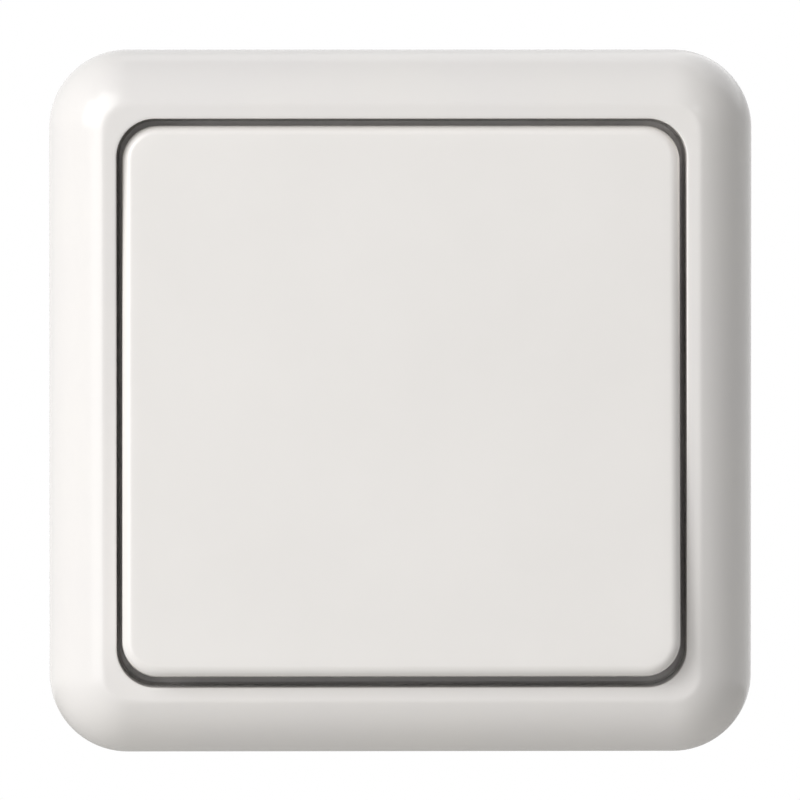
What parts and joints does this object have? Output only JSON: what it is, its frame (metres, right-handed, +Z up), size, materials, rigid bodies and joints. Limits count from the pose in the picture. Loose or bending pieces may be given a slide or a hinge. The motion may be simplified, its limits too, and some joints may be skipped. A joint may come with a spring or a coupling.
{
  "type": "light switch",
  "caption": "White one-gang rocker light switch with a square rounded cover frame, a large tilting rocker, and a flush insert with spreading claws and push-in terminals.",
  "frame": {"origin": "middle of the box screw pattern, on the back plane of the support ring, which is the wall surface", "axes": "+X to the right seen from the room, +Z up, +Y into the wall; the rocker faces -Y"},
  "size_m": [0.08, 0.0349, 0.08],
  "materials": {
    "frame_plastic": "glossy white moulded thermoplastic",
    "rocker_plastic": "glossy white moulded thermoplastic",
    "insert_plastic": "light grey thermoplastic, matt",
    "housing_plastic": "pale grey thermoset, matt",
    "plunger_plastic": "natural white acetal",
    "button_plastic": "orange thermoplastic, matt",
    "ring_steel": "zinc-plated sheet steel",
    "claw_steel": "zinc-plated sheet steel",
    "screw_steel": "passivated zinc-plated steel",
    "spring_steel": "bright spring steel",
    "contact_brass": "bare rolled brass",
    "contact_silver": "bright silver alloy"
  },
  "bodies": {
    "insert": {"cover_frame": "frame_plastic", "support_ring": "ring_steel", "bearing_cover": "insert_plastic", "housing": "housing_plastic", "rear_cover": "insert_plastic", "upper_contact_plate": "contact_brass", "lower_contact_plate": "contact_brass", "common_contact_plate": "contact_brass", "upper_fixed_contact": "contact_silver", "lower_fixed_contact": "contact_silver", "common_terminal_spring": "spring_steel", "upper_terminal_spring": "spring_steel", "lower_terminal_spring": "spring_steel", "claw_spring_left": "spring_steel", "claw_spring_right": "spring_steel"},
    "rocker": {"rocker": "rocker_plastic", "rocker_carrier": "insert_plastic", "plunger_spring": "spring_steel"},
    "plunger": {"plunger": "plunger_plastic"},
    "lever": {"contact_lever": "contact_brass", "upper_moving_contact": "contact_silver", "lower_moving_contact": "contact_silver"},
    "common_button": {"common_release_button": "button_plastic"},
    "upper_button": {"upper_release_button": "button_plastic"},
    "lower_button": {"lower_release_button": "button_plastic"},
    "claw_left": {"claw_left": "claw_steel"},
    "claw_right": {"claw_right": "claw_steel"},
    "claw_screw_left": {"claw_screw_left": "screw_steel"},
    "claw_screw_right": {"claw_screw_right": "screw_steel"}
  },
  "joints": [
    {"name": "rocker_tilt", "type": "hinge", "parent": "insert", "child": "rocker", "pos_m": [0, -0.0055, 0], "axis": [1, 0, 0], "range_deg": [0, 7]},
    {"name": "plunger_slide", "type": "slide", "parent": "rocker", "child": "plunger", "axis": [0, -0.9981, 0.061], "range_m": [0, 0.0008], "stiffness_N_per_m": 600, "springref_m": -0.002, "deforming": ["plunger_spring"]},
    {"name": "contact_tilt", "type": "hinge", "parent": "insert", "child": "lever", "pos_m": [0, 0.0078, 0], "axis": [1, 0, 0], "range_deg": [-18, 0]},
    {"name": "common_button_press", "type": "slide", "parent": "insert", "child": "common_button", "axis": [0, -1, 0], "range_m": [0, 0.002], "stiffness_N_per_m": 1500, "springref_m": -0.001, "deforming": ["common_terminal_spring"]},
    {"name": "upper_button_press", "type": "slide", "parent": "insert", "child": "upper_button", "axis": [0, -1, 0], "range_m": [0, 0.002], "stiffness_N_per_m": 1500, "springref_m": -0.001, "deforming": ["upper_terminal_spring"]},
    {"name": "lower_button_press", "type": "slide", "parent": "insert", "child": "lower_button", "axis": [0, -1, 0], "range_m": [0, 0.002], "stiffness_N_per_m": 1500, "springref_m": -0.001, "deforming": ["lower_terminal_spring"]},
    {"name": "claw_screw_left_turn", "type": "hinge", "parent": "insert", "child": "claw_screw_left", "pos_m": [-0.025, 0, 0], "axis": [0, 1, 0], "range_deg": [0, 840]},
    {"name": "claw_screw_right_turn", "type": "hinge", "parent": "insert", "child": "claw_screw_right", "pos_m": [0.025, 0, 0], "axis": [0, 1, 0], "range_deg": [0, 840]},
    {"name": "claw_left_spread", "type": "hinge", "parent": "insert", "child": "claw_left", "pos_m": [-0.0224, 0.006, 0], "axis": [0, 0, 1], "range_deg": [0, 24], "deforming": ["claw_spring_left"]},
    {"name": "claw_right_spread", "type": "hinge", "parent": "insert", "child": "claw_right", "pos_m": [0.0224, 0.006, 0], "axis": [0, 0, -1], "range_deg": [0, 24], "deforming": ["claw_spring_right"]}
  ],
  "couplings": [
    {"joint": "contact_tilt", "follows": "rocker_tilt", "ratio": -2.5714},
    {"joint": "claw_left_spread", "follows": "claw_screw_left_turn", "ratio": 0.028571},
    {"joint": "claw_right_spread", "follows": "claw_screw_right_turn", "ratio": 0.028571}
  ]
}
